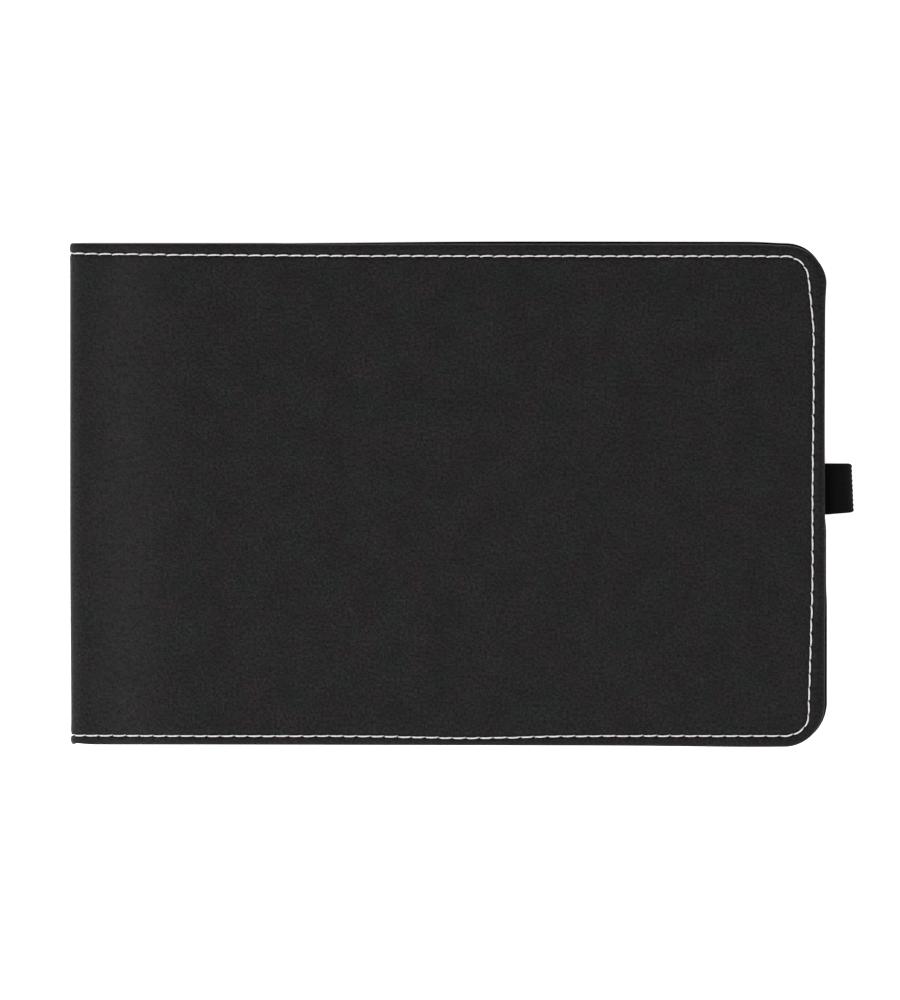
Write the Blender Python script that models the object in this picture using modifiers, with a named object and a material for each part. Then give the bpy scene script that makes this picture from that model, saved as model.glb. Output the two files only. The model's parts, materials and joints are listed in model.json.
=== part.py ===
"""Pocket notebook with stitched soft covers and an elastic pen loop.

The closed notebook lies on its back cover.  +X runs from the spine to the
fore-edge, +Y from the tail to the head and +Z up.  The origin is on the back
cover's underside, in the middle of the cover.  Sizes below are in millimetres;
meshes and curves are made in metres.
"""
import math
from collections import namedtuple

import bmesh
import bpy
from mathutils import Matrix, Vector

MM = 0.001

# Driving dimensions
COVER_LENGTH = 152.4       # spine to fore-edge
COVER_WIDTH = 101.2        # tail to head
CORNER_RADIUS = 8.0        # the cover's two fore-edge corners
GAP = 0.3                  # clearance between pieces that touch
PAGE_THICKNESS = 0.2       # a flyleaf
SECTION_THICKNESS = 0.95   # a folded section of leaves, pressed flat
SECTIONS = 6
MOVING_SECTIONS = 2        # sections that fan up with the front cover

# Cover build-up, from the outer face inward
SKIN = 0.6
BOARD = 0.6
LINING = 0.4
COVER_THICKNESS = SKIN + BOARD + LINING + 2 * GAP
RIM = 1.0                  # full-height turned edge of the skin
BORDER = 4.5               # solid border of the skin, which the seam runs through
EDGE_ROUND = 0.5           # rounding of the outer edge
SPINE_ROUND = 2.18         # the spine edge rolls over nearly the whole thickness
BACK_SHIFT = 0.25          # the back cover sits this far towards the head
BACK_OVERHANG = 0.3        # and reaches this far past the front cover's fore-edge

# Seam
THREAD_RADIUS = 0.15
THREAD_DEPTH = 0.17        # depth of the thread's centre below the outer face
GROOVE_RADIUS = THREAD_RADIUS + GAP
SEAM_HEAD = 2.4            # distance of the seam from each cover edge
SEAM_TAIL = 1.8
SEAM_FORE = 2.8
SEAM_CORNER = 5.6
BOBBIN_START = 4.2         # the inner thread starts this far from the spine
CUT_OVERRUN = 1.0          # cutters run this far past the face they open

# Page block
PAGE_MARGIN_SPINE = 3.175  # spine face to the sections' fold axis
PAGE_MARGIN_FORE = 4.6     # cover edge to page edge
PAGE_MARGIN_SIDE = 3.4
PAGE_CORNER = 6.0
FLYLEAF_MARGIN_SPINE = 2.4

# Spine build-up
SPINE_BORDER = 1.1
SPINE_BORDER_WIDTH = 4.0
SPINE_LINING = 0.35
MULL = 0.25
SEWING_RADIUS = 0.12
SEWING_WEAVE = 0.03        # the sewing threads weave this far in and out
SEWING_HALF_STITCH = 0.3
SEWING_STATIONS = (-36.0, -12.0, 12.0, 36.0)

# Pen loop: 10 mm elastic, folded into a ring that stands beside the fore-edge
ELASTIC_WIDTH = 10.0
ELASTIC = 0.9
LOOP_Y = 1.0               # middle of the loop, towards the head
LOOP_OUTLINE = (           # X from the fore-edge and Z, along the elastic's middle
    (1.25, 1.25),
    (1.10, 2.75),
    (-0.55, 4.00),
    (-2.45, 5.10),
    (-2.85, 7.60),
    (-1.25, 9.75),
    (1.90, 10.15),
    (4.70, 8.60),
    (5.10, 5.00),
    (3.90, 1.95),
)
LOOP_STEPS = 4             # mesh steps between two outline points
TAIL_THICKNESS = 0.45
TAIL_LENGTH = 4.1
TAIL_LEVEL = 1.05          # underside of the sewn-in tail
LOOP_PIVOT = (1.00, 1.25)     # where it flexes, beside its sewn-in tail

# Derived levels
SPINE_X = -COVER_LENGTH / 2
FORE_X = COVER_LENGTH / 2
SIDE_Y = COVER_WIDTH / 2
FLYLEAF_LEVEL = COVER_THICKNESS + GAP
BLOCK_LEVEL = FLYLEAF_LEVEL + PAGE_THICKNESS + GAP
BLOCK_THICKNESS = SECTIONS * SECTION_THICKNESS + (SECTIONS - 1) * GAP
TOTAL = 2 * BLOCK_LEVEL + BLOCK_THICKNESS
HINGE_X = SPINE_X - GAP
HINGE_DEPTH = COVER_THICKNESS + GAP / 2
PAGE_TOP = SIDE_Y - PAGE_MARGIN_SIDE
PAGE_FORE = FORE_X - PAGE_MARGIN_FORE
FOLD_X = SPINE_X + PAGE_MARGIN_SPINE

# Colour, roughness and metallic value of each finish
FINISHES = {
    "leatherette": ((0.021, 0.020, 0.020), 0.62, 0.0),
    "board": ((0.30, 0.25, 0.19), 0.90, 0.0),
    "lining": ((0.030, 0.029, 0.029), 0.75, 0.0),
    "thread": ((0.90, 0.88, 0.87), 0.60, 0.0),
    "elastic": ((0.008, 0.008, 0.009), 0.80, 0.0),
    "paper": ((0.86, 0.82, 0.72), 0.85, 0.0),
    "mull": ((0.72, 0.69, 0.62), 0.90, 0.0),
}

# A cover: outer face level, direction towards the pages, shift and overhang
Cover = namedtuple("Cover", "name outer inward shift overhang")
FRONT = Cover("front", TOTAL, -1.0, 0.0, 0.0)
BACK = Cover("back", 0.0, 1.0, BACK_SHIFT, BACK_OVERHANG)


def clear_scene():
    for obj in list(bpy.data.objects):
        bpy.data.objects.remove(obj, do_unlink=True)


def new_collection(name):
    collection = bpy.data.collections.new(name)
    bpy.context.scene.collection.children.link(collection)
    return collection


def make_material(name, finish):
    colour, roughness, metallic = FINISHES[finish]
    material = bpy.data.materials.new(name)
    material.use_nodes = True
    shader = material.node_tree.nodes["Principled BSDF"]
    shader.inputs["Base Color"].default_value = (*colour, 1.0)
    shader.inputs["Roughness"].default_value = roughness
    shader.inputs["Metallic"].default_value = metallic
    return material


def add_pivot(name, x, y, z):
    pivot = bpy.data.objects.new(name, None)
    pivot.location = (x * MM, y * MM, z * MM)
    PARTS.objects.link(pivot)
    return pivot


def add_part(name, data, finish, pivot=None):
    """Makes a node from data in world coordinates, with its origin on its pivot."""
    obj = bpy.data.objects.new(name, data)
    obj.data.materials.append(make_material(name, finish))
    PARTS.objects.link(obj)
    if pivot is not None:
        data.transform(Matrix.Translation(-pivot.location))
        obj.parent = pivot
    return obj


def add_cutter(name, data):
    obj = bpy.data.objects.new(name, data)
    obj.hide_render = True
    obj.display_type = "WIRE"
    CUTTERS.objects.link(obj)
    return obj


def cut(obj, cutter):
    modifier = obj.modifiers.new(cutter.name, "BOOLEAN")
    modifier.operation = "DIFFERENCE"
    modifier.solver = "EXACT"
    modifier.object = cutter


def box_bmesh(low, high):
    bm = bmesh.new()
    bmesh.ops.create_cube(bm, size=1.0)
    low = Vector(low) * MM
    high = Vector(high) * MM
    for vert in bm.verts:
        vert.co = (low + high) / 2 + vert.co * (high - low)
    return bm


def bevel_edges(bm, edges, radius, segments):
    bmesh.ops.bevel(bm, geom=edges, offset=radius * MM, segments=segments,
                    profile=0.5, affect="EDGES")


def edges_where(bm, test):
    """Edges whose two ends both pass the test, given in millimetres."""
    return [e for e in bm.edges if all(test(*(v.co / MM)) for v in e.verts)]


def near(a, b):
    return abs(a - b) < 1e-3


def round_fore_corners(bm, x_fore, radius, segments=8):
    uprights = [
        e for e in edges_where(bm, lambda x, y, z: near(x, x_fore))
        if not near(e.verts[0].co.z / MM, e.verts[1].co.z / MM)
    ]
    bevel_edges(bm, uprights, radius, segments)


def to_mesh(name, bm):
    mesh = bpy.data.meshes.new(name)
    bmesh.ops.recalc_face_normals(bm, faces=bm.faces)
    bm.to_mesh(mesh)
    bm.free()
    return mesh


def slab(name, low, high, corner=0.0):
    """A flat plate whose fore-edge corners are rounded."""
    bm = box_bmesh(low, high)
    if corner:
        round_fore_corners(bm, high[0], corner)
    return to_mesh(name, bm)


def tube(name, points, radius):
    """A round thread along points in millimetres."""
    curve = bpy.data.curves.new(name, "CURVE")
    curve.dimensions = "3D"
    curve.bevel_depth = radius * MM
    curve.bevel_resolution = 2
    curve.use_fill_caps = True
    spline = curve.splines.new("POLY")
    spline.points.add(len(points) - 1)
    for point, place in zip(spline.points, points):
        point.co = (*(Vector(place) * MM), 1.0)
    return curve


def tube_cutter(name, points, radius):
    """A closed mesh tube, for cutting a groove."""
    source = bpy.data.objects.new(name + "_curve", tube(name, points, radius))
    bpy.context.scene.collection.objects.link(source)
    evaluated = source.evaluated_get(bpy.context.evaluated_depsgraph_get())
    mesh = bpy.data.meshes.new_from_object(evaluated)
    bpy.data.objects.remove(source, do_unlink=True)
    bm = bmesh.new()
    bm.from_mesh(mesh)
    bmesh.ops.remove_doubles(bm, verts=bm.verts, dist=1e-6)
    bmesh.ops.recalc_face_normals(bm, faces=bm.faces)
    bm.to_mesh(mesh)
    bm.free()
    return add_cutter(name, mesh)


def arc(centre, radius, start, end, steps):
    """Plan or section points on an arc, with angles in degrees."""
    points = []
    for step in range(steps + 1):
        angle = math.radians(start + (end - start) * step / steps)
        points.append((centre[0] + radius * math.cos(angle),
                       centre[1] + radius * math.sin(angle)))
    return points


def level(cover, depth):
    """Height of a plane at a depth below a cover's outer face."""
    return cover.outer + cover.inward * depth


def cover_plate(cover, inset, depth_from, depth_to, spine_inset=None):
    """Low and high corners of a plate inside a cover, inset from its outline."""
    spine_inset = inset if spine_inset is None else spine_inset
    heights = sorted((level(cover, depth_from), level(cover, depth_to)))
    low = (SPINE_X + spine_inset, -SIDE_Y + cover.shift + inset, heights[0])
    high = (FORE_X + cover.overhang - inset, SIDE_Y + cover.shift - inset, heights[1])
    return low, high


def seam_plan(cover):
    """The seam in plan, from the spine at the tail round to the spine at the head."""
    fore = FORE_X + cover.overhang - SEAM_FORE
    tail = -SIDE_Y + cover.shift + SEAM_TAIL
    head = SIDE_Y + cover.shift - SEAM_HEAD
    r = SEAM_CORNER
    return (arc((fore - r, tail + r), r, -90, 0, 6)
            + arc((fore - r, head - r), r, 0, 90, 6))


def needle_path(cover, overrun=0.0):
    """The outer thread, from the spine's edge round three sides and back."""
    plan = seam_plan(cover)
    face = level(cover, THREAD_DEPTH)
    radius = COVER_THICKNESS - THREAD_DEPTH
    inner = level(cover, COVER_THICKNESS)
    wrap = [
        (SPINE_X + COVER_THICKNESS - dx, inner - cover.inward * dz)
        for dx, dz in arc((0.0, 0.0), radius, 0, 90, 5)
    ]
    if overrun:
        wrap.insert(0, (wrap[0][0], inner + cover.inward * overrun))
    tail_y = plan[0][1]
    head_y = plan[-1][1]
    path = [(x, tail_y, z) for x, z in wrap]
    path += [(x, y, face) for x, y in plan]
    path += [(x, head_y, z) for x, z in reversed(wrap)]
    return path


def bobbin_path(cover):
    """The inner thread, on the lining and clear of the pages."""
    plan = seam_plan(cover)
    face = level(cover, COVER_THICKNESS + GAP + THREAD_RADIUS)
    start = SPINE_X + BOBBIN_START
    ends = [(start, plan[0][1])] + plan + [(start, plan[-1][1])]
    return [(x, y, face) for x, y in ends]


def skin_mesh(cover):
    """A cover's outer skin before it is hollowed: its spine edge rolls over."""
    low, high = cover_plate(cover, 0.0, 0.0, COVER_THICKNESS)
    bm = box_bmesh(low, high)
    round_fore_corners(bm, high[0], CORNER_RADIUS, 10)
    roll = edges_where(bm, lambda x, y, z: near(x, SPINE_X) and near(z, cover.outer))
    bevel_edges(bm, roll, SPINE_ROUND, 6)
    side_faces = [f for f in bm.faces if abs(f.normal.z) < 0.01 and f.normal.x > -0.5]
    on_rim = {e for f in side_faces for e in f.edges}
    on_outer = [
        e for e in on_rim
        if any(abs(f.normal.z) > 0.05 for f in e.link_faces)
        and not all(near(v.co.z / MM, level(cover, COVER_THICKNESS)) for v in e.verts)
    ]
    bevel_edges(bm, on_outer, EDGE_ROUND, 2)
    return to_mesh(cover.name + "_cover_skin", bm)


def make_cover(cover, pivot):
    prefix = cover.name + "_cover_"
    skin = add_part(prefix + "skin", skin_mesh(cover), "leatherette", pivot)
    low, high = cover_plate(cover, RIM, SKIN + BOARD + GAP,
                            COVER_THICKNESS + CUT_OVERRUN)
    lining_pocket = slab(prefix + "lining_pocket", low, high, CORNER_RADIUS - RIM)
    cut(skin, add_cutter(prefix + "lining_pocket", lining_pocket))
    low, high = cover_plate(cover, BORDER, SKIN, COVER_THICKNESS + CUT_OVERRUN)
    board_pocket = slab(prefix + "board_pocket", low, high, CORNER_RADIUS - BORDER)
    cut(skin, add_cutter(prefix + "board_pocket", board_pocket))
    groove = tube_cutter(prefix + "seam_groove", needle_path(cover, CUT_OVERRUN),
                         GROOVE_RADIUS)
    cut(skin, groove)

    low, high = cover_plate(cover, BORDER + GAP, SKIN + GAP, SKIN + GAP + BOARD)
    board = slab(prefix + "board", low, high, CORNER_RADIUS - BORDER - GAP)
    add_part(prefix + "board", board, "board", pivot)

    low, high = cover_plate(cover, RIM + GAP, COVER_THICKNESS - LINING, COVER_THICKNESS)
    lining = slab(prefix + "lining", low, high, CORNER_RADIUS - RIM - GAP)
    add_part(prefix + "lining", lining, "lining", pivot)

    add_part(cover.name + "_seam_needle_thread",
             tube(cover.name + "_seam_needle_thread", needle_path(cover), THREAD_RADIUS),
             "thread", pivot)
    add_part(cover.name + "_seam_bobbin_thread",
             tube(cover.name + "_seam_bobbin_thread", bobbin_path(cover), THREAD_RADIUS),
             "thread", pivot)
    return skin


def spine_box(depth_from, depth_to, half_width, margin):
    """Low and high corners of a plate behind the spine's outer face."""
    low = (SPINE_X + depth_from, -half_width, COVER_THICKNESS + margin)
    high = (SPINE_X + depth_to, half_width, TOTAL - COVER_THICKNESS - margin)
    return low, high


def make_spine():
    low, high = spine_box(0.0, SPINE_BORDER, SIDE_Y, GAP)
    skin = add_part("spine_skin", slab("spine_skin", low, high), "leatherette")
    low, high = spine_box(SKIN, SPINE_BORDER + CUT_OVERRUN,
                          SIDE_Y - SPINE_BORDER_WIDTH, -CUT_OVERRUN)
    cut(skin, add_cutter("spine_pocket", slab("spine_pocket", low, high)))

    seam_x = SPINE_X + THREAD_DEPTH
    for name, index in (("tail", 0), ("head", -1)):
        back_y = seam_plan(BACK)[index][1]
        front_y = seam_plan(FRONT)[index][1]
        ends = [(seam_x, back_y, COVER_THICKNESS), (seam_x, front_y, TOTAL - COVER_THICKNESS)]
        cut(skin, tube_cutter("spine_groove_" + name, ends, GROOVE_RADIUS))
        thread = [(seam_x, back_y, COVER_THICKNESS + GAP),
                  (seam_x, front_y, TOTAL - COVER_THICKNESS - GAP)]
        thread_name = "spine_seam_thread_" + name
        add_part(thread_name, tube(thread_name, thread, THREAD_RADIUS), "thread")

    lining_from = SKIN + GAP
    inner_width = SIDE_Y - SPINE_BORDER_WIDTH - GAP
    low, high = spine_box(lining_from, lining_from + SPINE_LINING, inner_width, 2 * GAP)
    add_part("spine_lining", slab("spine_lining", low, high), "lining")

    mull_from = lining_from + SPINE_LINING + GAP
    low, high = spine_box(mull_from, mull_from + MULL, PAGE_TOP - 2.0, 3 * GAP)
    add_part("spine_mull", slab("spine_mull", low, high), "mull")


def section_level(index):
    """Middle height of a section; the first one lies under the front flyleaf."""
    top = TOTAL - BLOCK_LEVEL
    return top - SECTION_THICKNESS / 2 - (index - 1) * (SECTION_THICKNESS + GAP)


def make_section(index, pivot):
    """A folded section: a slab with a round fold, which turns about that fold."""
    middle = section_level(index)
    half = SECTION_THICKNESS / 2
    name = "page_section_{}".format(index)
    low = (FOLD_X - half, -PAGE_TOP, middle - half)
    high = (PAGE_FORE, PAGE_TOP, middle + half)
    bm = box_bmesh(low, high)
    round_fore_corners(bm, high[0], PAGE_CORNER)
    fold = [
        e for e in edges_where(bm, lambda x, y, z: near(x, low[0]))
        if near(e.verts[0].co.z / MM, e.verts[1].co.z / MM)
    ]
    bevel_edges(bm, fold, half - 0.005, 4)
    return add_part(name, to_mesh(name, bm), "paper", pivot)


def make_flyleaf(name, middle, pivot):
    low = (SPINE_X + FLYLEAF_MARGIN_SPINE, -PAGE_TOP, middle - PAGE_THICKNESS / 2)
    high = (PAGE_FORE, PAGE_TOP, middle + PAGE_THICKNESS / 2)
    return add_part(name, slab(name, low, high, PAGE_CORNER), "paper", pivot)


def make_sewing(index, station):
    """A sewing thread behind the folds, which swells at each section's fold."""
    name = "sewing_thread_{}".format(index)
    x = FOLD_X - SECTION_THICKNESS / 2 - GAP - SEWING_RADIUS - SEWING_WEAVE
    points = []
    for section in range(SECTIONS, 0, -1):
        middle = section_level(section)
        for rise, weave in ((-1.0, -1.0), (0.0, 0.0), (1.0, -1.0)):
            points.append((x + weave * SEWING_WEAVE, station,
                           middle + rise * SEWING_HALF_STITCH))
    return add_part(name, tube(name, points, SEWING_RADIUS), "thread")


def smooth_ring(outline, steps):
    """Points on a closed smooth curve through the outline (Catmull-Rom)."""
    count = len(outline)
    ring = []
    for i in range(count):
        p0, p1, p2, p3 = (Vector(outline[(i + k) % count]) for k in (-1, 0, 1, 2))
        for step in range(steps):
            t = step / steps
            ring.append(0.5 * (2 * p1 + (p2 - p0) * t
                               + (2 * p0 - 5 * p1 + 4 * p2 - p3) * t ** 2
                               + (3 * p1 - 3 * p2 + p3 - p0) * t ** 3))
    return ring


def make_pen_loop(pivot):
    """The elastic ring: an open strip of the elastic's width, thickened."""
    bm = bmesh.new()
    rows = []
    for side in (-0.5, 0.5):
        y = LOOP_Y + side * ELASTIC_WIDTH
        rows.append([
            bm.verts.new(Vector((FORE_X + x, y, z)) * MM)
            for x, z in smooth_ring(LOOP_OUTLINE, LOOP_STEPS)
        ])
    count = len(rows[0])
    for i in range(count):
        j = (i + 1) % count
        bm.faces.new((rows[0][i], rows[0][j], rows[1][j], rows[1][i]))
    loop = add_part("pen_loop", to_mesh("pen_loop", bm), "elastic", pivot)
    solidify = loop.modifiers.new("elastic", "SOLIDIFY")
    solidify.thickness = ELASTIC * MM
    solidify.offset = 0.0
    solidify.use_even_offset = True
    return loop


def make_loop_tail(skin, pivot):
    """The elastic's sewn-in end, in a slot through the back cover's edge."""
    edge = FORE_X + BACK_OVERHANG
    half = ELASTIC_WIDTH / 2
    low = (edge - TAIL_LENGTH, LOOP_Y - half, TAIL_LEVEL)
    high = (FORE_X + GAP, LOOP_Y + half, TAIL_LEVEL + TAIL_THICKNESS)
    add_part("pen_loop_tail", slab("pen_loop_tail", low, high), "elastic", pivot)
    slot_low = (low[0] - GAP, low[1] - GAP, low[2] - GAP)
    slot_high = (edge + CUT_OVERRUN, high[1] + GAP, high[2] + GAP)
    cut(skin, add_cutter("loop_slot", slab("loop_slot", slot_low, slot_high)))


clear_scene()
PARTS = new_collection("pocket_notebook")
CUTTERS = new_collection("cutters")

front_hinge = add_pivot("front_cover_hinge", HINGE_X, 0.0, level(FRONT, HINGE_DEPTH))
back_hinge = add_pivot("back_cover_hinge", HINGE_X, 0.0, level(BACK, HINGE_DEPTH))
make_cover(FRONT, front_hinge)
back_skin = make_cover(BACK, back_hinge)
make_loop_tail(back_skin, back_hinge)
make_spine()

FLYLEAF_X = SPINE_X + FLYLEAF_MARGIN_SPINE
REAR_FLYLEAF_Z = FLYLEAF_LEVEL + PAGE_THICKNESS / 2
FRONT_FLYLEAF_Z = TOTAL - REAR_FLYLEAF_Z
front_fold = add_pivot("front_flyleaf_fold", FLYLEAF_X, 0.0, FRONT_FLYLEAF_Z)
rear_fold = add_pivot("rear_flyleaf_fold", FLYLEAF_X, 0.0, REAR_FLYLEAF_Z)
make_flyleaf("front_flyleaf", FRONT_FLYLEAF_Z, front_fold)
make_flyleaf("rear_flyleaf", REAR_FLYLEAF_Z, rear_fold)

for number in range(1, SECTIONS + 1):
    section_pivot = None
    if number <= MOVING_SECTIONS:
        section_pivot = add_pivot(
            "page_section_{}_fold".format(number), FOLD_X, 0.0, section_level(number))
    make_section(number, section_pivot)

for number, place_y in enumerate(SEWING_STATIONS, start=1):
    make_sewing(number, place_y)

loop_pivot = add_pivot("pen_loop_flex", FORE_X + LOOP_PIVOT[0], LOOP_Y, LOOP_PIVOT[1])
make_pen_loop(loop_pivot)
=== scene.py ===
import json
import math

import bmesh
import bpy
import numpy as np
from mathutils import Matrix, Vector
from mathutils.geometry import delaunay_2d_cdt


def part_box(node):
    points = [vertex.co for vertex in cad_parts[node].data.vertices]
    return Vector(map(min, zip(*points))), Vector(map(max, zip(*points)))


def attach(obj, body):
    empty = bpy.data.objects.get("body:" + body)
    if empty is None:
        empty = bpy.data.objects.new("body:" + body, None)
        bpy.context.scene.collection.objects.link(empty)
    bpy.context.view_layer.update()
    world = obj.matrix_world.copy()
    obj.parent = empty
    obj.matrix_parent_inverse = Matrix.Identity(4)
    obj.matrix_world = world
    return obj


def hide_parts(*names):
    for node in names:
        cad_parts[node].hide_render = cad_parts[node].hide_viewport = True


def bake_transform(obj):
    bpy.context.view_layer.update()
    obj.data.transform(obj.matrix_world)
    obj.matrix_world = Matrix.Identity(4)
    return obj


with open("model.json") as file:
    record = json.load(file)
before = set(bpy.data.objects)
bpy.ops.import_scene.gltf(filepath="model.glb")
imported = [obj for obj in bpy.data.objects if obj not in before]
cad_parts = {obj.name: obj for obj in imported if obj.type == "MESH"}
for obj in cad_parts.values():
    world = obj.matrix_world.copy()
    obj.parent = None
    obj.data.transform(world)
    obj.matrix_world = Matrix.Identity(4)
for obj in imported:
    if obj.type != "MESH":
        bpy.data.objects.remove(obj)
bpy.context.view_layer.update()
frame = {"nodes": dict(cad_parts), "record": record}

# Pocket notebook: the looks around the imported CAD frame.  Lengths are in millimetres
# until a mesh is made, and +X runs from the spine to the fore-edge.
MM = 0.001
RANDOM = np.random.default_rng(7)


def box_mm(node):
    low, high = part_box(node)
    return np.array(low) / MM, np.array(high) / MM


def smooth(t):
    t = np.clip(t, 0.0, 1.0)
    return t * t * (3 - 2 * t)


def ramp(value, start, run):
    """From 0 at the start to 1 after the run."""
    return smooth((value - start) / run)


def bell(distance, width):
    return np.exp(-(distance / width) ** 2)


# ---- mesh helpers

def add_object(name, data):
    thing = bpy.data.objects.new(name, data)
    bpy.context.scene.collection.objects.link(thing)
    return thing


WELD_DISTANCE = 2e-6       # metres
SHARP_ANGLE = 62           # degrees: edges sharper than this aren't shaded smooth


def make_piece(name, verts, faces, material, flat, wear_and_painted_light=None, weld=False):
    """A smooth-shaded mesh; flat holds each point's place on the unrolled material."""
    mesh = bpy.data.meshes.new(name)
    mesh.from_pydata((np.asarray(verts) * MM).tolist(), [], faces)
    layer = mesh.attributes.new("flat", "FLOAT_VECTOR", "POINT")
    layer.data.foreach_set("vector", np.asarray(flat, np.float32).ravel())
    # per-point values of wear, painted highlight and painted shade
    if wear_and_painted_light is not None:
        layer = mesh.attributes.new("wear_and_painted_light", "FLOAT", "POINT")
        layer.data.foreach_set("value", np.asarray(wear_and_painted_light, np.float32))
    bm = bmesh.new()
    bm.from_mesh(mesh)
    if weld:
        bmesh.ops.remove_doubles(bm, verts=bm.verts, dist=WELD_DISTANCE)
    bmesh.ops.recalc_face_normals(bm, faces=bm.faces)
    bm.to_mesh(mesh)
    bm.free()
    mesh.materials.append(material)
    mesh.shade_smooth()
    mesh.set_sharp_from_angle(angle=math.radians(SHARP_ANGLE))
    return add_object(name, mesh)


def grid_faces(rows, columns, start=0, wrap=False):
    """Quads between rows of points; wrap closes each row on itself."""
    faces = []
    last = columns if wrap else columns - 1
    for row in range(rows - 1):
        for column in range(last):
            after = (column + 1) % columns
            a = start + row * columns
            b = a + columns
            faces.append((a + column, a + after, b + after, b + column))
    return faces


def slab_faces(rows, columns):
    """Quads of a closed slab: two grids of points, one after the other, and its rim."""
    size = rows * columns
    faces = grid_faces(rows, columns)
    faces += [tuple(size + i for i in face) for face in faces]
    for column in range(columns - 1):
        for base in (0, (rows - 1) * columns):
            a = base + column
            faces.append((a, a + 1, size + a + 1, size + a))
    for row in range(rows - 1):
        for edge in (0, columns - 1):
            a = row * columns + edge
            faces.append((a, a + columns, size + a + columns, size + a))
    return faces


# ---- the cover's form

FRONT_LOW, FRONT_HIGH = box_mm("front_cover_skin")
BACK_LOW, BACK_HIGH = box_mm("back_cover_skin")
TOTAL = FRONT_HIGH[2]
SPINE_X = FRONT_LOW[0]
SPINE_ROLL = 3.0           # radius of the wrap over the spine's edge
CORNER = 8.4               # fore-edge corners
SHOULDER_DROP = 0.75       # the cover falls away towards the spine
SHOULDER_RUN = 9.0
JOINT_THINNING = 0.42      # the wrap has no board over the spine and the joint
JOINT_START, JOINT_END = 6.0, 14.0
SKEW = 0.22                # the spine's edge isn't quite square to the seams
SKEW_SPAN, SKEW_FADE = 45.0, 30.0
SHIFT_START = 25.0         # the back cover's shift grows from here over the run
SHIFT_RUN = 60.0
TURN = 0.30                # the back cover sits slightly turned under the front one
WAVE_HEIGHT = 0.03         # slow waves of the soft cover
WAVE_START = 12.0

STITCH = 2.74
SAMPLES = 8                # mesh steps per stitch
SEAM = 2.4                 # nominal distance of the seam from the edge
HEAD_SEAM, TAIL_SEAM, FORE_SEAM = 2.68, 1.86, 2.52     # its real distance on each side


class CoverForm:
    """Half of the wrap.  Laid flat, xi runs from mid-spine to the fore-edge."""

    def __init__(self, name, up, low, high):
        self.name = name
        self.up = up
        self.wall = TOTAL / 2 - SPINE_ROLL
        self.arc = SPINE_ROLL * math.pi / 2
        self.flat_x = SPINE_X + SPINE_ROLL
        self.length = self.wall + self.arc + high[0] - self.flat_x
        self.half_width = (high[1] - low[1]) / 2
        self.shift = (high[1] + low[1]) / 2

    def x_of(self, xi):
        return self.flat_x + xi - self.wall - self.arc

    def xi_of(self, x):
        return x - self.flat_x + self.wall + self.arc

    def roll(self, xi, y, depth):
        """Flat points, at a depth under the outer face, on the closed notebook."""
        xi, y, depth = np.broadcast_arrays(xi, y, depth)
        stiffened = ramp(xi, JOINT_START, JOINT_END - JOINT_START)
        thin = 1 - JOINT_THINNING * (1 - stiffened)
        depth = np.where(depth > 0, depth * thin, depth)
        run = np.maximum(xi - self.wall - self.arc, 0)
        angle = np.clip((xi - self.wall) / SPINE_ROLL, 0, math.pi / 2)
        depth = depth + SHOULDER_DROP * bell(run, SHOULDER_RUN) * np.sin(angle) ** 4
        depth = depth + self.undulation(run, y)
        x = self.flat_x - (SPINE_ROLL - depth) * np.cos(angle) + run
        x = x + SKEW * smooth(-y / SKEW_SPAN - 0.1) * (1 - smooth(run / SKEW_FADE))
        rise = np.minimum(xi, self.wall) + (SPINE_ROLL - depth) * np.sin(angle)
        z = TOTAL / 2 + self.up * rise
        shift = self.shift * ramp(run, SHIFT_START, SHIFT_RUN)
        return np.stack((x, y + shift, z), axis=-1)

    def undulation(self, run, y):
        """Crossing waves that lower the outer face, with none at the spine."""
        broad = np.sin(run / 17.0 + y / 23.0) * np.cos(y / 14.0 - run / 31.0)
        narrow = np.sin(run / 7.3 - y / 9.1)
        waves = broad + 0.5 * narrow
        return WAVE_HEIGHT * (1 + waves / 1.5) * smooth(run / WAVE_START)


FRONT = CoverForm("front", 1.0, FRONT_LOW, FRONT_HIGH)
BACK = CoverForm("back", -1.0, BACK_LOW, BACK_HIGH)


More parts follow.
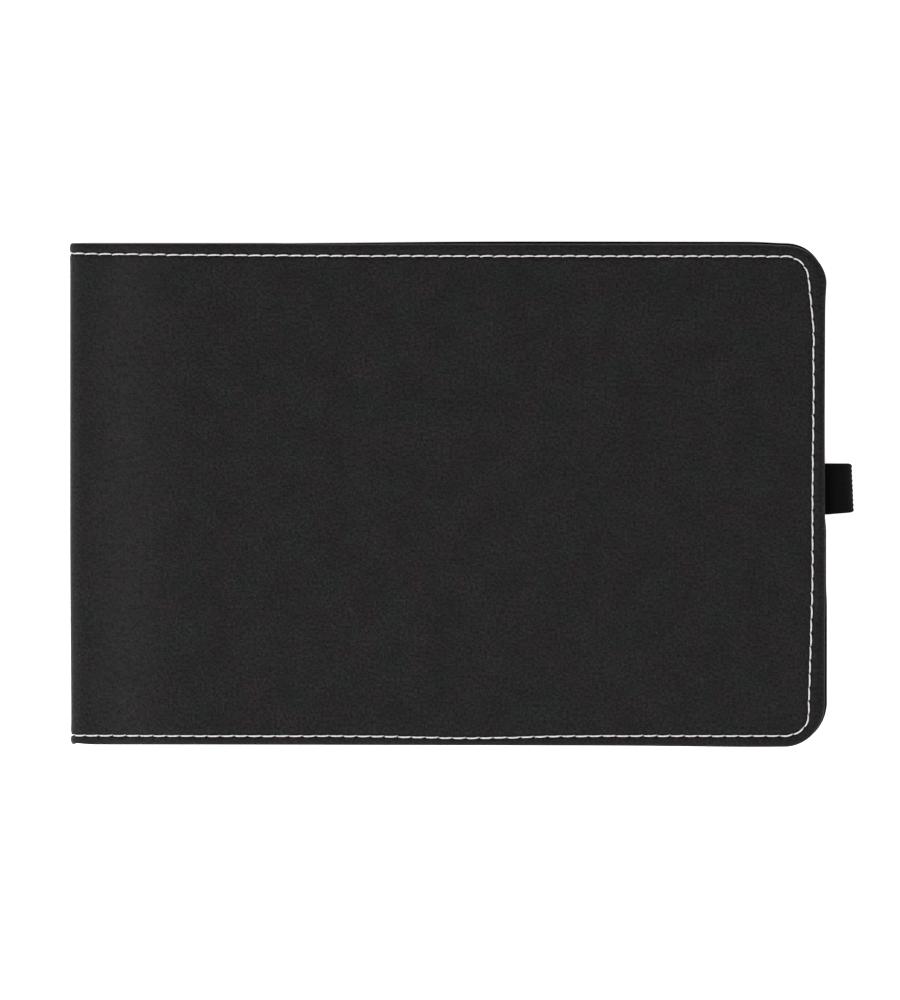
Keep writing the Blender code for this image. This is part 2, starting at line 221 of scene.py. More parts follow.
class Border:
    """The cover's outline on three sides, sampled finely enough for the stitches."""

    def __init__(self, form, step):
        self.form = form
        long_run = form.length - CORNER
        short_run = 2 * (form.half_width - CORNER)
        n_long = round(long_run / step)
        n_short = round(short_run / step)
        n_arc = round(CORNER * math.pi / 2 / step)
        w = form.half_width
        xi = np.linspace(0, long_run, n_long + 1)
        y = np.linspace(-w + CORNER, w - CORNER, n_short + 1)
        turn = np.linspace(0, math.pi / 2, n_arc + 1)[1:-1]
        tail = (np.stack((xi, np.full_like(xi, -w)), 1), (0.0, 1.0))
        fore = (np.stack((np.full_like(y, form.length), y), 1), (-1.0, 0.0))
        head = (np.stack((xi[::-1], np.full_like(xi, w)), 1), (0.0, -1.0))
        runs = []
        normals = []
        corners = ((-w + CORNER, -math.pi / 2), (w - CORNER, 0.0), None)
        for (points, normal), corner in zip((tail, fore, head), corners):
            runs.append(points)
            normals.append(np.tile(normal, (len(points), 1)))
            if corner is not None:
                angle = turn + corner[1]
                out = np.stack((np.cos(angle), np.sin(angle)), 1)
                runs.append(np.array((long_run, corner[0])) + CORNER * out)
                normals.append(-out)
        self.points = np.concatenate(runs)
        self.normals = np.concatenate(normals)
        self.count = len(self.points)
        self.long_count = n_long + 1
        self.short_count = n_short + 1
        self.arc_count = n_arc - 1
        self.inset = self.seam_inset()
        self.stray = self.edge_stray()
        seam = self.offset(SEAM)
        steps = np.linalg.norm(np.diff(seam, axis=0), axis=1)
        self.travel = np.concatenate(((0.0,), np.cumsum(steps)))
        self.stitches = round(self.travel[-1] / STITCH)
        self.pitch = self.travel[-1] / self.stitches

    def seam_inset(self):
        """Distance of the seam from the edge: it wanders a little, as sewn."""
        xi, y = self.points.T
        x = self.form.x_of(xi)
        from_spine = x - SPINE_X
        head_at_spine = -0.60 * np.exp(-from_spine / 30.0)
        tail_at_spine = 0.15 * np.exp(-from_spine / 8.0)
        tail_swerve = -0.42 * bell(x - 4.0, 14.0)
        below_middle = 0.25 * ramp(-y, -25.0, 30.0)
        head_corner = 1.00 * ramp(y, 31.0, 14.0)
        tail_corner = 0.95 * ramp(-y, 12.0, 45.0)
        head = HEAD_SEAM + head_at_spine
        tail = TAIL_SEAM + tail_at_spine + tail_swerve
        fore = FORE_SEAM + below_middle + head_corner + tail_corner
        across = self.normals[:, 0] ** 4
        return np.where(y > 0, head, tail) * (1 - across) + fore * across

    def edge_stray(self):
        """How far the cut edge strays outward from the true outline."""
        xi, y = self.points.T
        x = self.form.x_of(xi)
        tail_swell = 0.22 * bell(x - 61.0, 16.0)
        tail = -0.10 + 0.28 * smooth(x / 160.0 + 0.5) + tail_swell
        tail -= 0.25 * bell(x - SPINE_X, 3.0)
        if self.form is BACK:
            head = TURN / 3 * ramp(x, -48.0, 60.0) + TURN / 5 * bell(x - 18.0, 28.0)
            fore = -TURN / 2 * ramp(y, -23.0, 5.0) - 1.5 * TURN * ramp(y, -8.0, 6.0)
        else:
            head = -0.17 * ramp(x, -36.0, 12.0)
            fore = -0.12 - 0.13 * bell(y - 12.0, 22.0) - 0.13 * ramp(-y, 20.0, 8.0)
        head = head - 0.30 * bell(x - 68.5, 4.5)       # the head corner is cut lopsided
        fore = fore + 0.26 * bell(y - 43.5, 3.5)
        along = np.abs(self.normals[:, 1])
        side = np.where(y > 0, head, tail)
        return side * along ** 2 + fore * (1 - along ** 2)

    def offset(self, distance):
        """Flat points at a nominal distance inside the outline."""
        outer = -self.stray
        outside = distance < SEAM
        near = outer + (self.inset - outer) * distance / SEAM
        far = self.inset + (CORNER - self.inset) * (distance - SEAM) / (CORNER - SEAM)
        inward = near if outside else far
        return self.points + self.normals * inward[:, None]

    def relief(self, distance):
        """Depth that the stitches pull into the outer face, at each border point."""
        phase = self.travel / self.pitch
        to_hole = np.abs(phase - np.round(phase)) * self.pitch
        across = distance - SEAM
        valley = 0.25 * bell(across, 0.42)
        hole = 0.20 * bell(to_hole, 0.42) * bell(across, 0.34)
        fullness = 0.03 * np.cos(2 * math.pi * phase) * bell(np.abs(across) - 0.75, 0.5)
        puff = 0.07 * bell(distance - 1.25, 0.7) + 0.03 * bell(distance - 3.7, 0.9)
        return valley + hole + fullness - puff


INNER_RINGS = (0.12, 0.26, 0.43, 0.65, 0.95, 1.4, 2.0, 2.9, 4.1)
OUTER_RINGS = (0.12, 0.26, 0.43, 0.65, 0.95, 1.25, 1.5)


def graded_offsets():
    """Border rings from the inside out, closest together at the seam."""
    inner = SEAM + np.array(INNER_RINGS)
    outer = SEAM - np.array(OUTER_RINGS)
    return [CORNER] + sorted(inner, reverse=True) + [SEAM] + list(outer)


def quarter(centre, radii, start, end, steps):
    """Points on an ellipse arc of the profile, as (distance, depth)."""
    points = []
    for step in range(1, steps + 1):
        angle = math.radians(start + (end - start) * step / steps)
        points.append((centre[0] - radii[0] * math.sin(angle),
                       centre[1] - radii[1] * math.cos(angle)))
    return points


SKIN = 0.6                 # leatherette
SKIN_RIM = 0.7             # where the edge starts to turn over
TURN_IN = 4.3              # width of the turned-in edge
TURN_TOP, TURN_BOTTOM = 1.22, 1.64
LINING_TOP, LINING_BOTTOM = 1.69, 2.14
LINING_INSET = 0.75
EDGE_SHADE_DEPTH = 1.05      # the turned edge takes near-black painted shade below this
CREASE_SHADE = 0.95              # painted shade of a crease runs this far inside the fore-edge


def skin_profile():
    """The skin's section at an edge, from its outer face round to its inner face."""
    section = [(d, 0.0) for d in graded_offsets()]
    section += quarter((SKIN_RIM, 0.75), (SKIN_RIM, 0.75), 0, 90, 6)
    section += quarter((0.55, TURN_BOTTOM - 0.5), (0.55, 0.5), 90, 180, 4)
    section += [(1.5, TURN_BOTTOM), (2.9, TURN_BOTTOM), (TURN_IN - 0.1, TURN_BOTTOM)]
    section += [(TURN_IN, TURN_BOTTOM - 0.1), (TURN_IN, TURN_TOP + 0.1)]
    section += [(TURN_IN - 0.1, TURN_TOP), (2.6, TURN_TOP), (1.4, TURN_TOP)]
    section += [(1.1, TURN_TOP - 0.12), (1.05, 0.9), (1.15, 0.68), (1.5, SKIN)]
    section += [(3.0, SKIN), (5.5, SKIN), (CORNER, SKIN)]
    return section


def lining_profile():
    """The lining's section at an edge, from its hidden face to the one inside."""
    rim = LINING_INSET
    section = [(CORNER, LINING_TOP), (5.0, LINING_TOP), (2.4, LINING_TOP)]
    section += [(rim + 0.12, LINING_TOP), (rim, LINING_TOP + 0.1)]
    section += [(rim, LINING_BOTTOM - 0.1), (rim + 0.12, LINING_BOTTOM)]
    section += [(d, LINING_BOTTOM) for d in (1.3, 1.7, 2.0, 2.2)]
    section += [(SEAM, LINING_BOTTOM)]
    section += [(d, LINING_BOTTOM) for d in (2.6, 2.85, 3.2, 3.9, 5.2, CORNER)]
    return section


ROW_STEP = 2.5             # mesh step away from the border
ROLL_STEP = 0.45           # mesh step round the spine's edge
MERGE = 1e-4               # points closer than this are one
OUTER_FACE = 0.1           # depths less than this are on the outer face
EARLY_SHARE = 0.45         # only in this share of a section do steps inward count up


def interior_columns(form):
    """Mesh columns from mid-spine to the border: close together round the roll."""
    roll_end = form.wall + form.arc
    fine = np.arange(0.0, roll_end + 1.0, ROLL_STEP)
    coarse = np.arange(fine[-1] + 1.2, form.length - CORNER - 1.0, ROW_STEP)
    return np.concatenate((fine, coarse))


def fill_interior(border):
    """Triangles over the area inside the border: points, faces and boundary map."""
    form = border.form
    reach = form.half_width - CORNER
    rows = np.linspace(-reach, reach, round(2 * reach / ROW_STEP) + 1)
    tail = np.arange(border.long_count)
    fore = border.long_count + border.arc_count + np.arange(border.short_count)
    head = border.count - border.long_count + np.arange(border.long_count)
    ring = np.concatenate((tail, fore[1:], head[1:]))
    inner_edge = border.offset(CORNER)[ring]
    spine_rows = rows[1:-1][::-1]
    closing = np.stack((np.zeros(len(spine_rows)), spine_rows), 1)
    columns = interior_columns(form)[1:]
    inside = np.array([(xi, y) for xi in columns for y in rows[1:-1]])
    points = np.concatenate((inner_edge, closing, inside))
    loop = list(range(len(inner_edge) + len(closing)))
    result = delaunay_2d_cdt([Vector(p) for p in points], [], [loop], 1, MERGE)
    places = np.array([tuple(v) for v in result[0]])
    source = [origin[0] if origin else -1 for origin in result[3]]
    return places, [tuple(f) for f in result[2]], source, ring, len(closing)


def spine_bands(form, xi, depth):
    """Lighter bands: along the spine's edge, and a soft band of painted highlight where
    the joint bends.
    """
    if depth > OUTER_FACE:
        return np.zeros(len(xi))
    run = xi - form.wall - form.arc
    spine_edge = 0.30 * bell(run + 1.6, 1.0)
    # painted highlight: a soft lighter band over the joint, more than the shoulder's
    # slope gives
    joint_highlight = 0.62 * bell(run - 8.5, 6.5)
    return spine_edge + joint_highlight


def border_wear_and_painted_light(border, xi, distance, depth):
    """The spine's lighter bands less painted shade: in the seam's groove, along the
    crease and on the turned edge.
    """
    # painted shade in the seam's valley
    groove = 0.9 * bell(distance - SEAM, 0.45) * (depth < OUTER_FACE)
    # painted shade along a crease inside the fore-edge
    crease_shade = 0.45 * bell(distance - CREASE_SHADE, 0.2) * np.abs(border.normals[:, 0])
    # painted shade on the edge's rounded rim
    rim = 0.6 * smooth(depth / 0.5)
    return spine_bands(border.form, xi, depth) - groove - crease_shade - rim


def texture_travel(section):
    """Texture coordinate across the border, for each point of a section."""
    across = section[0][0]
    travel = [across]
    for index in range(1, len(section)):
        (distance, depth), before = section[index], section[index - 1]
        step = math.hypot(distance - before[0], depth - before[1])
        early_inward = distance > before[0] and index <= len(section) * EARLY_SHARE
        across += step if early_inward else -step
        travel.append(across)
    return travel


def sheet_piece(name, border, section, material, relief_sign=1.0, bulge=None):
    """A closed sheet whose border follows a section, and whose end is at mid-spine.

    Stitches pull in the outer face, or with relief_sign -1 the inner one.
    """
    form = border.form
    verts = []
    flats = []
    wear_and_painted_light_rows = []
    for (distance, depth), across in zip(section, texture_travel(section)):
        flat = border.offset(distance)
        facing = 1 - smooth(depth / 0.5) if relief_sign > 0 else ramp(depth, 2.0, 0.1)
        sunk = depth + relief_sign * facing * border.relief(distance)
        if bulge is not None:
            sunk = sunk + bulge(flat[:, 0], flat[:, 1])
        verts.append(form.roll(flat[:, 0], flat[:, 1], sunk))
        place = border.points + border.normals * across
        flats.append(np.column_stack((place, np.full(border.count, depth))))
        wear_and_painted_light_rows.append(border_wear_and_painted_light(border, flat[:, 0], distance, depth))
    count = border.count
    faces = grid_faces(len(section), count)
    places, triangles, source, ring, closing = fill_interior(border)
    edge_size = len(ring)
    start = count * len(section)
    end_rows = []
    for layer, (distance, depth) in ((0, section[0]), (len(section) - 1, section[-1])):
        index = []
        fresh = []
        spine_row = {}
        for place, origin in zip(places, source):
            if 0 <= origin < edge_size:
                index.append(layer * count + int(ring[origin]))
                continue
            if edge_size <= origin < edge_size + closing:
                spine_row[origin - edge_size] = start + len(fresh)
            index.append(start + len(fresh))
            fresh.append(place)
        fresh = np.array(fresh)
        sunk = np.full(len(fresh), depth)
        if bulge is not None:
            sunk = sunk + bulge(fresh[:, 0], fresh[:, 1])
        verts.append(form.roll(fresh[:, 0], fresh[:, 1], sunk))
        flats.append(np.column_stack((fresh, np.full(len(fresh), depth))))
        wear_and_painted_light_rows.append(spine_bands(form, fresh[:, 0], depth))
        faces += [tuple(index[i] for i in triangle) for triangle in triangles]
        start += len(fresh)
        head_end = layer * count + count - 1
        end_rows.append([head_end] + [spine_row[i] for i in range(closing)]
                        + [layer * count])
    for (a, b), (c, d) in zip(zip(end_rows[0], end_rows[0][1:]),
                              zip(end_rows[1], end_rows[1][1:])):
        faces.append((a, b, d, c))
    faces.append(tuple(row * count for row in range(len(section))))
    faces.append(tuple(row * count + count - 1 for row in range(len(section))))
    return make_piece(name, np.concatenate(verts), faces, material,
                      np.concatenate(flats), np.concatenate(wear_and_painted_light_rows), weld=True)


# ---- stitches

THREAD = 0.175             # thread radius
PLY_TURN = 1.15            # length of one twist of the two plies
PLY_GROOVE = 0.20          # depth of the groove between the plies, as a share
NEEDLE_HOLE = 0.03         # a stitch starts and ends this far from the hole's middle


def stitch_row(name, border, face, outward, material, sides=10, rings=11, bulge=None):
    """Lockstitches along the seam, each diving into the cover at both ends."""
    form = border.form
    seam = border.offset(SEAM)
    verts = []
    flats = []
    faces = []
    turn = np.linspace(0, 2 * math.pi, sides, endpoint=False)
    t = np.linspace(0, 1, rings)
    for k in range(border.stitches):
        begin = k * border.pitch + NEEDLE_HOLE
        finish = (k + 1) * border.pitch - NEEDLE_HOLE
        travel = begin + (finish - begin) * t
        xi = np.interp(travel, border.travel, seam[:, 0])
        y = np.interp(travel, border.travel, seam[:, 1])
        n_xi = np.interp(travel, border.travel, border.normals[:, 0])
        n_y = np.interp(travel, border.travel, border.normals[:, 1])
        # The thread lies slightly aslant and crosses the seam line at its holes.
        swing = 0.06 - 0.22 * np.exp((t - 1) / 0.20) - 0.08 * (1 - t) ** 6
        swing = swing * RANDOM.normal(1.0, 0.25) + RANDOM.normal(0, 0.02)
        xi = xi - n_xi * swing
        y = y - n_y * swing
        slack = RANDOM.normal(0, 0.012)
        dip = 0.03 + 0.36 * np.abs(2 * t - 1) ** 7 + slack
        depth = face + outward * dip
        if bulge is not None:
            depth = depth + bulge(xi, y)
        centre = form.roll(xi, y, depth)
        up = form.roll(xi, y, depth - 0.05 * outward) - centre
        up /= np.linalg.norm(up, axis=1)[:, None]
        along = np.gradient(centre, axis=0)
        side = np.cross(along, up)
        side /= np.linalg.norm(side, axis=1)[:, None]
        radius = THREAD * (1 - 0.45 * np.abs(2 * t - 1) ** 4)
        twist = 2 * math.pi * travel / PLY_TURN
        angle = turn[None, :]
        round_ply = np.abs(np.cos(angle - twist[:, None] / 2))
        ply = (1 - PLY_GROOVE) + PLY_GROOVE * round_ply
        reach = radius[:, None] * ply
        ring = (centre[:, None, :]
                + (reach * np.cos(angle))[..., None] * side[:, None, :]
                + (reach * np.sin(angle))[..., None] * up[:, None, :])
        start = len(verts) * rings * sides
        verts.append(ring.reshape(-1, 3))
        around = np.broadcast_to(turn / (2 * math.pi), (rings, sides))
        flat = np.stack((np.repeat(travel[:, None], sides, 1), around,
                         np.full((rings, sides), k)), -1)
        flats.append(flat.reshape(-1, 3))
        faces += grid_faces(rings, sides, start, wrap=True)
        faces.append(tuple(range(start, start + sides)))
        last = start + (rings - 1) * sides
        faces.append(tuple(range(last, last + sides)))
    return make_piece(name, np.concatenate(verts), faces, material,
                      np.concatenate(flats))


# ---- pages

SHEETS_PER_SECTION = 4
LEAF = 0.10                # paper thickness
LEAF_PITCH = 0.15          # spacing of the folded sheets in a section
PAGE_CORNER = 6.0
LEAF_COLUMNS = 13          # mesh points across a leaf
PATCH_SPACING = 10.0       # between the leaves' places in the paper texture


def leaf_rows(fore, fold, corner):
    """Distances from the fold of a leaf's mesh rows, close together at the corner."""
    run = fore - fold
    straight = np.linspace(0.0, run - corner, 13)
    turn = np.linspace(0, math.pi / 2, 9)[1:]
    return np.concatenate((straight, run - corner + corner * np.sin(turn)))


def leaf_half_width(rows, run, half, corner):
    """Half of a leaf's width at each row, less at its rounded corners."""
    into = np.clip(rows - (run - corner), 0, corner)
    return half - corner + np.sqrt(np.maximum(corner ** 2 - into ** 2, 0))


def folded_sheet(fold_x, middle, fold_radius, fore, half, jitter):
    """One sheet folded into two leaves: points and faces of a thin closed strip."""
    out = leaf_rows(fore, fold_x, PAGE_CORNER)
    run = out[-1]
    widths = leaf_half_width(out, run, half, PAGE_CORNER)
    turn = np.linspace(-90, -270, 9)[1:-1] * math.pi / 180
    path = [(fold_x + d, middle - fold_radius, 0.0, -1.0) for d in out[::-1]]
    path += [(fold_x + fold_radius * math.cos(a), middle + fold_radius * math.sin(a),
              math.cos(a), math.sin(a)) for a in turn]
    path += [(fold_x + d, middle + fold_radius, 0.0, 1.0) for d in out]
    path = np.array(path)
    width = np.concatenate((widths[::-1], np.full(len(turn), half), widths))
    return strip_solid(path, width, jitter)


def strip_solid(path, width, jitter):
    """A closed thin solid along a section path of x, z and outward direction."""
    columns = np.linspace(-1, 1, LEAF_COLUMNS)
    count = len(columns)
    stick_out, slide, wave_height, phase = jitter
    points = []
    flats = []
    travel = np.concatenate(((0.0,), np.cumsum(
        np.linalg.norm(np.diff(path[:, :2], axis=0), axis=1))))
    for side in (1.0, -1.0):
        x = path[:, 0] + side * path[:, 2] * LEAF / 2
        z = path[:, 1] + side * path[:, 3] * LEAF / 2
        y = width[:, None] * columns[None, :] + slide
        wave = wave_height * np.sin(path[:, 0] / 21.0 + phase)[:, None]
        wave = wave * np.cos(columns * 2.1 + phase)[None, :]
        reach = ramp(path[:, 0], -60.0, 80.0) * stick_out
        grid = np.stack((np.repeat((x + reach)[:, None], count, 1), y,
                         z[:, None] + wave), -1)
        points.append(grid.reshape(-1, 3))
        flat = np.stack((np.repeat(travel[:, None], count, 1), y,
                         np.full(y.shape, side)), -1)
        flats.append(flat.reshape(-1, 3))
    faces = slab_faces(len(path), count)
    return np.concatenate(points), np.concatenate(flats), faces


def page_jitter():
    """How far a sheet sticks out and slides, and its wave's height and phase."""
    return (RANDOM.normal(0, 0.05), RANDOM.normal(0, 0.03),
            abs(RANDOM.normal(0, 0.010)), RANDOM.uniform(0, 6))


def join_solids(name, solids, material):
    """One piece of several closed leaves, each on its own patch of paper texture."""
    verts = []
    flats = []
    faces = []
    start = 0
    for number, (points, flat, quads) in enumerate(solids):
        verts.append(points)
        flats.append(flat + (0, 0, PATCH_SPACING * number))
        faces += [tuple(start + i for i in quad) for quad in quads]
        start += len(points)
    return make_piece(name, np.concatenate(verts), faces, material,
                      np.concatenate(flats))


def make_section(node, body, material):
    """Nested folded sheets that fill one section of the page block."""
    low, high = box_mm(node)
    middle = (low[2] + high[2]) / 2
    fold_x = low[0] + (high[2] - low[2]) / 2
    solids = []
    for sheet in range(SHEETS_PER_SECTION):
        radius = LEAF_PITCH * (sheet + 0.5)
        solids.append(folded_sheet(fold_x, middle, radius, high[0], high[1],
                                   page_jitter()))
    piece = join_solids(node + "_sheets", solids, material)
    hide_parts(node)
    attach(piece, body)


def make_flyleaf(node, material):
    """A single leaf, a little heavier than the pages."""
    low, high = box_mm(node)
    middle = (low[2] + high[2]) / 2
    rows = leaf_rows(high[0], low[0], PAGE_CORNER)
    path = np.array([(low[0] + d, middle, 0.0, 1.0) for d in rows])
    width = leaf_half_width(rows, rows[-1], high[1], PAGE_CORNER)
    solid = strip_solid(path, width, (0.0, 0.0, 0.008, 1.0))
    piece = join_solids(node + "_sheet", [solid], material)
    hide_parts(node)
    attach(piece, node)


# ---- pen loop

ELASTIC = 0.85
TAIL_ELASTIC = 0.30        # the elastic's sewn-in ends are pressed flat
RIBS = 10
RIB_DEPTH = 0.10
RIB_COLUMNS = 8            # mesh steps across a rib
PICK = 0.34                # spacing of the cross threads
PICK_HEIGHT = 0.03
SELVEDGE = 0.035           # rounded edge, as a share of the width
THINNEST = 0.02
CURVE_STEPS = 14
LOOP_STEP = 0.16
LOOP_SHEAR = 0.22          # the outer fold reaches less far at its head side
LOOP_CURVE = (             # share of the loop's width and height, from tail to tail
    (0.455, 0.060),
    (0.600, -0.005),
    (0.845, 0.083),
    (0.990, 0.420),
    (0.945, 0.820),
    (0.600, 0.995),
    (0.206, 0.950),
    (0.009, 0.710),
    (0.075, 0.445),
    (0.290, 0.315),
    (0.440, 0.215),
    (0.445, 0.130),
)


def smooth_curve(points, steps):
    """Catmull-Rom curve through the points, with its ends held."""
    points = np.array([points[0]] + list(points) + [points[-1]], float)
    curve = []
    for i in range(1, len(points) - 2):
        p0, p1, p2, p3 = points[i - 1:i + 3]
        for step in range(steps):
            t = step / steps
            curve.append(0.5 * (2 * p1 + (p2 - p0) * t
                                + (2 * p0 - 5 * p1 + 4 * p2 - p3) * t ** 2
                                + (3 * p1 - 3 * p2 + p3 - p0) * t ** 3))
    curve.append(points[-2])
    return np.array(curve)


def resample(curve, step):
    """Points at an even spacing along a curve."""
    lengths = np.concatenate(((0.0,), np.cumsum(
        np.linalg.norm(np.diff(curve, axis=0), axis=1))))
    count = round(lengths[-1] / step)
    at = np.linspace(0, lengths[-1], count + 1)
    return np.stack([np.interp(at, lengths, curve[:, i]) for i in (0, 1)], 1), at


def loop_tail_levels():
    """Heights of the two sewn-in ends, between the back cover's skin and lining."""
    lower = BACK_LOW[2] + TURN_BOTTOM + 0.05 + TAIL_ELASTIC / 2
    return lower, lower + TAIL_ELASTIC + 0.02


def loop_path():
    """The elastic's centre line in x and z, from one sewn-in end round to the other."""
    low, high = box_mm("pen_loop")
    tail_low, tail_high = box_mm("pen_loop_tail")
    lower, upper = loop_tail_levels()
    half = ELASTIC / 2
    span = (high[0] - low[0] - ELASTIC, high[2] - low[2] - ELASTIC)
    ring = [(low[0] + half + u * span[0], low[2] + half + v * span[1])
            for u, v in LOOP_CURVE]
    start, edge = tail_low[0], tail_high[0]
    points = [(start, lower), (edge - 1.0, lower), (edge, lower - 0.02)]
    points += ring
    points += [(edge, upper + 0.02), (edge - 1.0, upper), (start, upper)]
    return resample(smooth_curve(points, CURVE_STEPS), LOOP_STEP)


def elastic_lift(travel, columns, flatness):
    """Height of the elastic's face over its centre line, ribbed and woven."""
    thick = TAIL_ELASTIC + (ELASTIC - TAIL_ELASTIC) * flatness
    selvedge = np.clip((np.abs(columns - 0.5) - (0.5 - SELVEDGE)) / SELVEDGE, 0, 1)
    edge_round = np.sqrt(np.clip(1 - selvedge ** 2, 0, 1))
    rib = 0.5 - 0.5 * np.cos(2 * math.pi * RIBS * columns)
    weave = 0.5 + 0.5 * np.cos(2 * math.pi * travel / PICK)[:, None]
    groove = RIB_DEPTH * (1 - np.sqrt(rib))[None, :] * (0.35 + 0.65 * flatness[:, None])
    texture = PICK_HEIGHT * weave * rib[None, :] * flatness[:, None]
    lift = thick[:, None] / 2 * edge_round[None, :] - groove + texture
    return np.where(lift < THINNEST, THINNEST * edge_round[None, :], lift)


def make_pen_loop(material):
    low, high = box_mm("pen_loop")
    edge = box_mm("pen_loop_tail")[1][0]
    width = high[1] - low[1]
    middle = (high[1] + low[1]) / 2
    path, travel = loop_path()
    tangent = np.gradient(path, axis=0)
    tangent /= np.linalg.norm(tangent, axis=1)[:, None]
    normal = np.stack((tangent[:, 1], -tangent[:, 0]), 1)
    from_end = np.minimum(travel, travel[-1] - travel)
    flatness = ramp(from_end, 4.3, 2.2)
    columns = np.linspace(0, 1, RIBS * RIB_COLUMNS + 1)
    rows = len(path)
    count = len(columns)
    outward = np.clip((path[:, 0] - edge) / (high[0] - edge), 0, 1)
    pull = 0.28 * ramp(outward, 0.88, 0.12)            # the edges draw in at the fold
    y_low = low[1] - 0.15 + 0.45 * outward + pull
    y_high = high[1] + 0.20 - pull
    y = y_low[:, None] + (y_high - y_low)[:, None] * columns[None, :]
    lean = 0.7 + (y - middle) / (width / 2)
    shear = -LOOP_SHEAR * lean * smooth(outward)[:, None]
    lift = elastic_lift(travel, columns, flatness)
    verts = []
    flats = []
    for side in (1.0, -1.0):
        x = path[:, 0, None] + normal[:, 0, None] * (side * lift) + shear
        z = path[:, 1, None] + normal[:, 1, None] * (side * lift)
        verts.append(np.stack((x, y, z), -1).reshape(-1, 3))
        flat = np.stack((np.repeat(travel[:, None], count, 1),
                         np.repeat(columns[None, :] * width, rows, 0),
                         np.full((rows, count), side)), -1)
        flats.append(flat.reshape(-1, 3))
    piece = make_piece("pen_loop_elastic", np.concatenate(verts),
                       slab_faces(rows, count), material, np.concatenate(flats),
                       weld=True)
    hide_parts("pen_loop", "pen_loop_tail")
    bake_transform(piece)


def loop_bulge(xi, y):
    """The lining lifts over the loop's two sewn-in ends."""
    low, high = box_mm("pen_loop_tail")
    middle = (low[1] + high[1]) / 2 - BACK.shift
    half = (high[1] - low[1]) / 2
    beside = 1 - smooth((np.abs(y - middle) - half - 0.2) / 1.6)
    inside = smooth((BACK.x_of(xi) - low[0] + 2.0) / 1.8)
    return (2 * TAIL_ELASTIC + 0.06) * beside * inside


# ---- materials

def add_node(tree, kind, inputs=None, **settings):
    node = tree.nodes.new("ShaderNode" + kind)
    for key, value in settings.items():
        setattr(node, key, value)
    for key, value in (inputs or {}).items():
        if isinstance(value, bpy.types.NodeSocket):
            tree.links.new(value, node.inputs[key])
        else:
            node.inputs[key].default_value = value
    return node


def new_material(name, roughness, **constants):
    material = bpy.data.materials.new(name)
    material.use_nodes = True
    tree = material.node_tree
    shader = tree.nodes["Principled BSDF"]
    shader.inputs["Roughness"].default_value = roughness
    for key, value in constants.items():
        shader.inputs[key.replace("_", " ")].default_value = value
    return material, tree, shader


def flat_place(tree, scale=(1.0, 1.0, 1.0), coords="flat"):
    """Texture place from the unrolled material, or from the object in millimetres."""
    if coords == "flat":
        source = add_node(tree, "Attribute", attribute_name="flat").outputs["Vector"]
    else:
        source = add_node(tree, "TexCoord").outputs["Object"]
        scale = tuple(s / MM for s in scale)
    mapping = add_node(tree, "Mapping", {"Vector": source, "Scale": scale})
    return mapping.outputs["Vector"]


def noise(tree, place, scale, detail, roughness):
    node = add_node(tree, "TexNoise", {"Vector": place, "Scale": scale,
                                       "Detail": detail, "Roughness": roughness})
    return node.outputs["Fac"]


def spread(tree, value, low, high, to_low=0.0, to_high=1.0):
    node = add_node(tree, "MapRange", {"Value": value, "From Min": low, "From Max": high,
                                       "To Min": to_low, "To Max": to_high})
    return node.outputs["Result"]


def math_node(tree, operation, a, b):
    return add_node(tree, "Math", {0: a, 1: b}, operation=operation).outputs[0]


def add_share(tree, a, b, share):
    return math_node(tree, "ADD", a, math_node(tree, "MULTIPLY", b, share))


def mix_colour(tree, factor, a, b, blend="MIX"):
    a, b = [c if isinstance(c, bpy.types.NodeSocket) else (*c, 1.0) for c in (a, b)]
    node = add_node(tree, "Mix", {0: factor, 6: a, 7: b}, data_type="RGBA",
                    blend_type=blend)
    return node.outputs[2]


def connect(tree, shader, colour, height, depth, **more):
    """Give the shader a colour, and a bump with a depth in millimetres."""
    inputs = {"Height": height, "Distance": depth * MM, "Strength": 1.0}
    normal = add_node(tree, "Bump", inputs).outputs["Normal"]
    for key, value in {"Base Color": colour, "Normal": normal, **more}.items():
        tree.links.new(value, shader.inputs[key])


LEATHER_ALBEDO = 0.0098
COOL_TINT = (0.84, 1.08, 1.00)
WARM_TINT = (1.30, 0.89, 1.00)
FLECK = (0.085, 0.080, 0.078)
# lighter colour for the scuff, the spine's edge and the painted highlight over the joint
RUB_AND_HIGHLIGHT = (0.030, 0.028, 0.028)
LEATHER_ROUGHNESS = 0.56
GRAIN_SCALE = 2.3
GRAIN_DEPTH = 0.085
CLOUD_LOW, CLOUD_HIGH = 0.60, 1.40
SCUFF_ANGLE = -0.73
SCUFF_REACH = (1.2, 0.38, 1.0)       # along the mark and across it
FRONT_SCUFF = (-19.7, -23.4)         # x and y on the closed notebook
BACK_SCUFF = (31.0, 12.0)


def scuff_mark(tree, place, scuff):
    """A short pale streak, strongest at its middle."""
    along = add_node(tree, "Mapping", {
        "Vector": place, "Location": scuff, "Rotation": (0.0, 0.0, SCUFF_ANGLE),
        "Scale": SCUFF_REACH}, vector_type="TEXTURE").outputs["Vector"]
    away = add_node(tree, "VectorMath", {0: along}, operation="LENGTH").outputs["Value"]
    return spread(tree, away, 0.3, 1.5, 0.85, 0.0)


def leather_grain(tree, place):
    """Height of the pebble grain, with pores."""
    cells = add_node(tree, "TexVoronoi", {"Vector": place, "Scale": GRAIN_SCALE,
                                          "Smoothness": 0.6}, feature="SMOOTH_F1")
    pebble = cells.outputs["Distance"]
    pores = noise(tree, place, GRAIN_SCALE * 2.6, 4.0, 0.6)
    return add_share(tree, math_node(tree, "MULTIPLY", pebble, -1.0), pores, 0.8)


